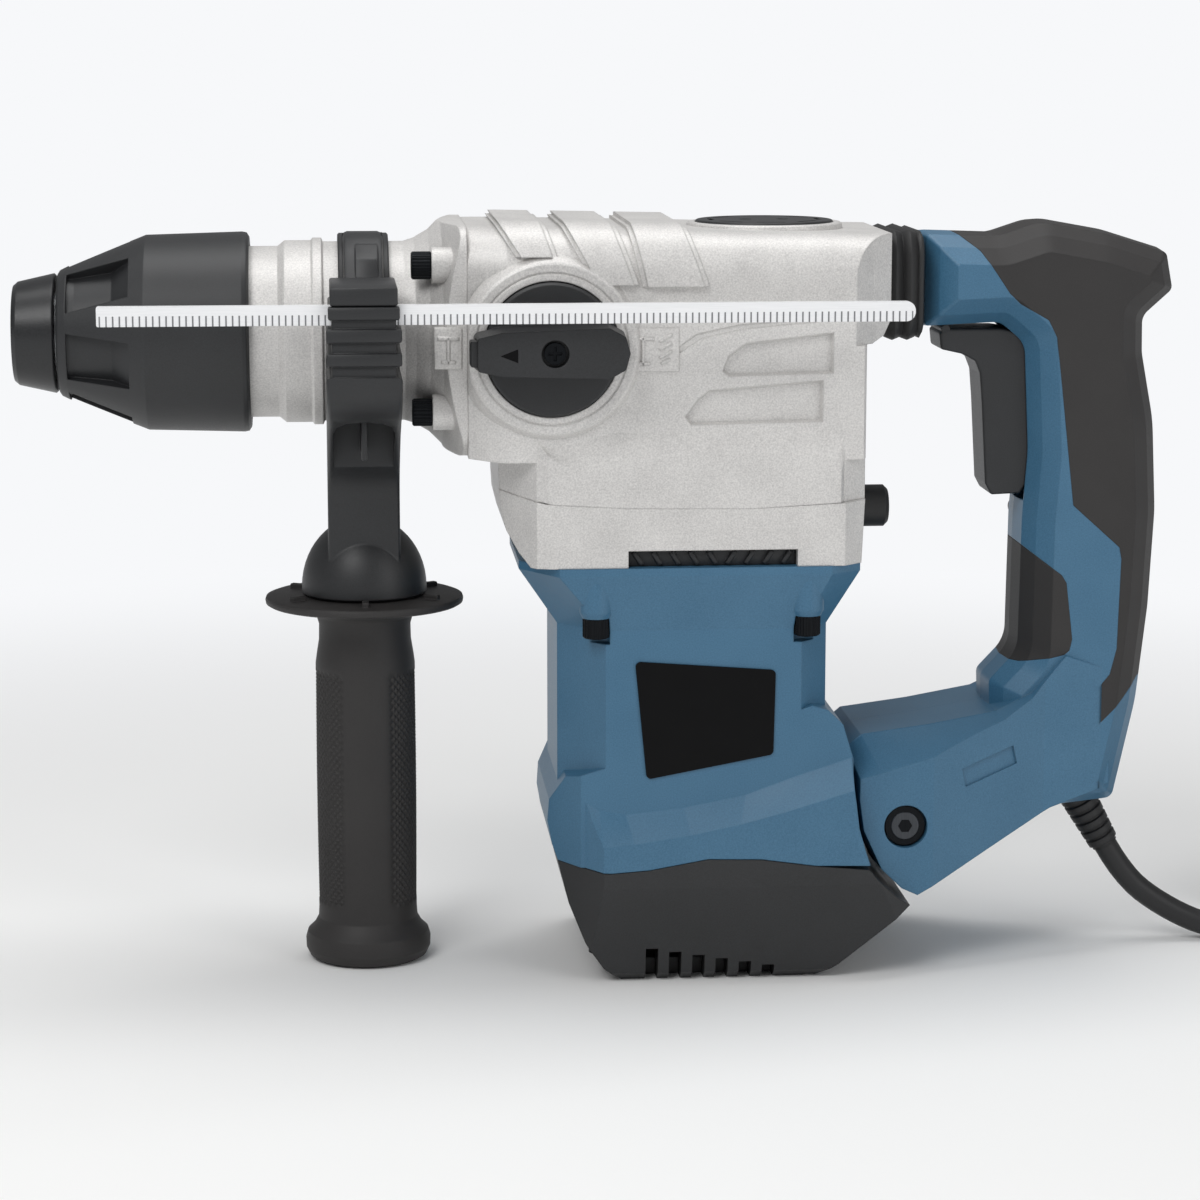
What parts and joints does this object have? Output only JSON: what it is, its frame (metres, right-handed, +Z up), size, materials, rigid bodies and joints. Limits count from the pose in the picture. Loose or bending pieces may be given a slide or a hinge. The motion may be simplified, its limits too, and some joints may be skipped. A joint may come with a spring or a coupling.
{
  "type": "rotary hammer",
  "caption": "Corded rotary hammer with a tool chuck, side handle and depth rod, mode knob, sprung rear handle and trigger.",
  "frame": {"origin": "middle of the tool bore's mouth, on the tool axis", "axes": "+X to the rear along the tool axis, +Z up, -Y the side with the mode knob"},
  "size_m": [0.534, 0.1744, 0.2458],
  "materials": {
    "cast_alloy": "fine cast, tumbled",
    "piston_alloy": "turned",
    "blue_shell": "fine moulded texture",
    "black_plastic": "fine moulded texture",
    "nose_rubber": "smooth",
    "grip_rubber": "matte moulded",
    "soft_rubber": "matte",
    "cord_sheath": "satin",
    "gloss_label": "gloss",
    "black_steel": "black oxide",
    "ground_steel": "ground",
    "lamination_steel": "stacked sheet",
    "copper_winding": "enamelled copper",
    "carbon": "pressed carbon",
    "depth_rod_metal": "zinc plated"
  },
  "bodies": {
    "housing": {"front_housing": "cast_alloy", "gearbox_housing": "cast_alloy", "gearbox_base": "cast_alloy", "motor_housing": "blue_shell", "bottom_cover": "black_plastic", "front_screws": "black_steel", "motor_screws": "black_steel", "cover_screws": "black_steel", "grease_cap": "black_plastic", "name_labels": "gloss_label", "rear_bumper": "soft_rubber", "stator_core": "lamination_steel", "field_coils": "copper_winding", "brush_holders": "black_plastic", "carbon_brushes": "carbon", "motor_bearings": "ground_steel", "spindle_bearings": "ground_steel", "pivot_bolts": "black_steel", "bellows": "soft_rubber", "handle_spring": "ground_steel"},
    "spindle": {"tool_holder": "ground_steel", "hammer_cylinder": "ground_steel", "dust_cap": "nose_rubber", "locking_balls": "ground_steel", "bevel_ring_gear": "ground_steel", "sleeve_spring": "ground_steel"},
    "sleeve": {"lock_sleeve": "black_plastic"},
    "armature": {"armature_shaft": "ground_steel", "armature_core": "lamination_steel", "commutator": "copper_winding", "cooling_fan": "black_plastic"},
    "crank": {"crank_gear": "ground_steel"},
    "bevel_shaft": {"middle_gear": "ground_steel"},
    "piston": {"piston": "piston_alloy", "wrist_pin": "ground_steel", "connecting_rod": "ground_steel", "crank_pin": "ground_steel"},
    "striker": {"striker": "ground_steel", "striker_seals": "soft_rubber"},
    "anvil": {"beat_piece": "ground_steel"},
    "knob": {"mode_knob": "black_plastic", "knob_screw": "black_steel"},
    "knob_button": {"knob_lock_button": "black_plastic"},
    "side_bracket": {"side_handle_bracket": "black_plastic"},
    "side_grip": {"side_handle_grip": "black_plastic", "handle_tie_rod": "ground_steel"},
    "depth_stop": {"depth_rod": "depth_rod_metal"},
    "rear_handle": {"handle_shell_left": "blue_shell", "handle_shell_right": "blue_shell", "rear_grip": "grip_rubber", "front_insert": "grip_rubber", "handle_screws": "black_steel", "switch_module": "black_plastic", "cord_guard": "soft_rubber", "power_cord": "cord_sheath", "cord_coil": "cord_sheath", "power_plug": "cord_sheath"},
    "trigger": {"trigger": "black_plastic"}
  },
  "joints": [
    {"name": "armature_spin", "type": "hinge", "parent": "housing", "child": "armature", "pos_m": [0.212, 0, -0.11], "axis": [0, 0, 1], "continuous": true},
    {"name": "crank_spin", "type": "hinge", "parent": "housing", "child": "crank", "pos_m": [0.23825, 0, -0.03], "axis": [0, 0, 1], "continuous": true},
    {"name": "bevel_shaft_spin", "type": "hinge", "parent": "housing", "child": "bevel_shaft", "pos_m": [0.18762, 0, -0.03], "axis": [0, 0, 1], "continuous": true},
    {"name": "spindle_spin", "type": "hinge", "parent": "housing", "child": "spindle", "pos_m": [0, 0, 0], "axis": [1, 0, 0], "continuous": true},
    {"name": "lock_sleeve_slide", "type": "slide", "parent": "spindle", "child": "sleeve", "axis": [1, 0, 0], "range_m": [0, 0.008], "stiffness_N_per_m": 900, "springref_m": -0.012, "deforming": ["sleeve_spring"]},
    {"name": "piston_stroke", "type": "slide", "parent": "housing", "child": "piston", "axis": [1, 0, 0], "range_m": [0, 0.02]},
    {"name": "striker_stroke", "type": "slide", "parent": "housing", "child": "striker", "axis": [1, 0, 0], "range_m": [-0.007, 0.025]},
    {"name": "beat_piece_stroke", "type": "slide", "parent": "housing", "child": "anvil", "axis": [1, 0, 0], "range_m": [0, 0.008]},
    {"name": "mode_knob_turn", "type": "hinge", "parent": "housing", "child": "knob", "pos_m": [0.1658, -0.05, -0.0021], "axis": [0, 1, 0], "range_deg": [0, 180]},
    {"name": "knob_lock_push", "type": "slide", "parent": "knob", "child": "knob_button", "axis": [1, 0, 0], "range_m": [0, 0.0025], "stiffness_N_per_m": 700, "springref_m": -0.003},
    {"name": "side_handle_swing", "type": "hinge", "parent": "housing", "child": "side_bracket", "pos_m": [0.107, 0, 0], "axis": [-1, 0, 0], "range_deg": [-40, 180]},
    {"name": "side_grip_turn", "type": "hinge", "parent": "side_bracket", "child": "side_grip", "pos_m": [0.107, 0, -0.15], "axis": [0, 0, 1], "range_deg": [0, 360]},
    {"name": "depth_rod_slide", "type": "slide", "parent": "side_bracket", "child": "depth_stop", "axis": [1, 0, 0], "range_m": [-0.13, 0.06]},
    {"name": "rear_handle_rock", "type": "hinge", "parent": "housing", "child": "rear_handle", "pos_m": [0.281, 0, -0.159], "axis": [0, -1, 0], "range_deg": [0, 0.5], "stiffness_Nm_per_rad": 400, "springref_deg": -1.72, "deforming": ["bellows", "handle_spring"]},
    {"name": "trigger_pull", "type": "hinge", "parent": "rear_handle", "child": "trigger", "pos_m": [0.2966, 0, 0], "axis": [0, -1, 0], "range_deg": [0, 7], "stiffness_Nm_per_rad": 4, "springref_deg": -8.59}
  ],
  "couplings": [
    {"joint": "crank_spin", "follows": "armature_spin", "ratio": -0.27273},
    {"joint": "bevel_shaft_spin", "follows": "armature_spin", "ratio": -0.3},
    {"joint": "spindle_spin", "follows": "armature_spin", "ratio": 0.11538}
  ]
}
